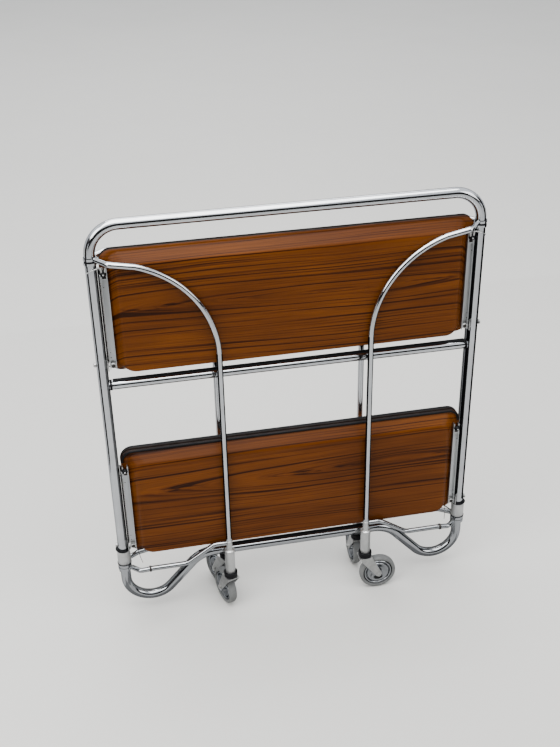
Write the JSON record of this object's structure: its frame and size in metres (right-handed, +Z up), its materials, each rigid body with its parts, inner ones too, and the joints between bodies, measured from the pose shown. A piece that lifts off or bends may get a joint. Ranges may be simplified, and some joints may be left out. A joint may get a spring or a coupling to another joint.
{
  "type": "folding serving trolley",
  "caption": "Folding serving trolley, folded flat: chrome hoop on a bent foot rail, swinging tube gates with swivel casters, and two tiers of upright wood-grain tray leaves.",
  "frame": {"origin": "on the floor, under the middle of the hoop and in the hoop plane", "axes": "+X to the right of the picture, +Y away from the viewer, +Z up"},
  "size_m": [0.6594, 0.1322, 0.778],
  "materials": {
    "chrome_tube": "polished chrome plate",
    "satin_metal": "satin nickel",
    "zinc": "dull zinc plate",
    "black_plastic": "matt black",
    "teak_laminate": "satin laminate with a horizontal teak grain",
    "grey_tyre": "matt grey"
  },
  "bodies": {
    "frame": {"hoop": "chrome_tube", "foot_rail": "chrome_tube", "mid_bar": "chrome_tube", "saddle_left": "black_plastic", "collar_left": "satin_metal", "collar_liner_left": "black_plastic", "pivot_bush_left": "black_plastic", "saddle_right": "black_plastic", "collar_right": "satin_metal", "collar_liner_right": "black_plastic", "pivot_bush_right": "black_plastic", "upper_front_leaf": "teak_laminate", "upper_rear_leaf": "teak_laminate", "upper_front_left_end_strip": "zinc", "upper_front_right_end_strip": "zinc", "upper_rear_left_end_strip": "zinc", "upper_rear_right_end_strip": "zinc", "upper_hinge_bracket_left": "zinc", "upper_hinge_bracket_right": "zinc", "lower_front_leaf": "teak_laminate", "lower_rear_leaf": "teak_laminate", "lower_front_left_end_strip": "zinc", "lower_front_right_end_strip": "zinc", "lower_rear_left_end_strip": "zinc", "lower_rear_right_end_strip": "zinc", "lower_hinge_bracket_left": "zinc", "lower_hinge_bracket_right": "zinc"},
    "front_left_gate": {"front_left_gate_tube": "chrome_tube", "front_left_lower_arm": "chrome_tube", "front_left_socket": "satin_metal"},
    "front_left_caster": {"front_left_fork": "zinc", "front_left_swivel_cup": "black_plastic", "front_left_axle": "zinc"},
    "front_left_wheel": {"front_left_wheel_disc": "chrome_tube", "front_left_tyre": "grey_tyre"},
    "front_right_gate": {"front_right_gate_tube": "chrome_tube", "front_right_lower_arm": "chrome_tube", "front_right_socket": "satin_metal"},
    "front_right_caster": {"front_right_fork": "zinc", "front_right_swivel_cup": "black_plastic", "front_right_axle": "zinc"},
    "front_right_wheel": {"front_right_wheel_disc": "chrome_tube", "front_right_tyre": "grey_tyre"},
    "rear_left_gate": {"rear_left_gate_tube": "chrome_tube", "rear_left_lower_arm": "chrome_tube", "rear_left_socket": "satin_metal"},
    "rear_left_caster": {"rear_left_fork": "zinc", "rear_left_swivel_cup": "black_plastic", "rear_left_axle": "zinc"},
    "rear_left_wheel": {"rear_left_wheel_disc": "chrome_tube", "rear_left_tyre": "grey_tyre"},
    "rear_right_gate": {"rear_right_gate_tube": "chrome_tube", "rear_right_lower_arm": "chrome_tube", "rear_right_socket": "satin_metal"},
    "rear_right_caster": {"rear_right_fork": "zinc", "rear_right_swivel_cup": "black_plastic", "rear_right_axle": "zinc"},
    "rear_right_wheel": {"rear_right_wheel_disc": "chrome_tube", "rear_right_tyre": "grey_tyre"}
  },
  "joints": [
    {"name": "front_left_gate_hinge", "type": "hinge", "parent": "frame", "child": "front_left_gate", "pos_m": [-0.316, 0, 0.4], "axis": [0, 0, -1], "range_deg": [0, 90]},
    {"name": "front_left_caster_swivel", "type": "hinge", "parent": "front_left_gate", "child": "front_left_caster", "pos_m": [-0.1275, -0.0285, 0.08], "axis": [0, 0, 1], "range_deg": [0, 240]},
    {"name": "front_left_wheel_spin", "type": "hinge", "parent": "front_left_caster", "child": "front_left_wheel", "pos_m": [-0.13523, -0.00472, 0.03478], "axis": [-0.9511, -0.309, 0], "continuous": true},
    {"name": "front_right_gate_hinge", "type": "hinge", "parent": "frame", "child": "front_right_gate", "pos_m": [0.316, 0, 0.4], "axis": [0, 0, 1], "range_deg": [0, 90]},
    {"name": "front_right_caster_swivel", "type": "hinge", "parent": "front_right_gate", "child": "front_right_caster", "pos_m": [0.1275, -0.0285, 0.08], "axis": [0, 0, 1], "range_deg": [-180, 45]},
    {"name": "front_right_wheel_spin", "type": "hinge", "parent": "front_right_caster", "child": "front_right_wheel", "pos_m": [0.1525, -0.0285, 0.03478], "axis": [0, 1, 0], "continuous": true},
    {"name": "rear_left_gate_hinge", "type": "hinge", "parent": "frame", "child": "rear_left_gate", "pos_m": [-0.316, 0, 0.4], "axis": [0, 0, 1], "range_deg": [0, 90]},
    {"name": "rear_left_caster_swivel", "type": "hinge", "parent": "rear_left_gate", "child": "rear_left_caster", "pos_m": [-0.1275, 0.0285, 0.08], "axis": [0, 0, 1], "range_deg": [-58, 2]},
    {"name": "rear_left_wheel_spin", "type": "hinge", "parent": "rear_left_caster", "child": "rear_left_wheel", "pos_m": [-0.13924, 0.05057, 0.03478], "axis": [-0.8829, -0.4695, 0], "continuous": true},
    {"name": "rear_right_gate_hinge", "type": "hinge", "parent": "frame", "child": "rear_right_gate", "pos_m": [0.316, 0, 0.4], "axis": [0, 0, -1], "range_deg": [0, 90]},
    {"name": "rear_right_caster_swivel", "type": "hinge", "parent": "rear_right_gate", "child": "rear_right_caster", "pos_m": [0.1275, 0.0285, 0.08], "axis": [0, 0, 1], "range_deg": [-90, 120]},
    {"name": "rear_right_wheel_spin", "type": "hinge", "parent": "rear_right_caster", "child": "rear_right_wheel", "pos_m": [0.1275, 0.0535, 0.03478], "axis": [-1, 0, 0], "continuous": true}
  ]
}
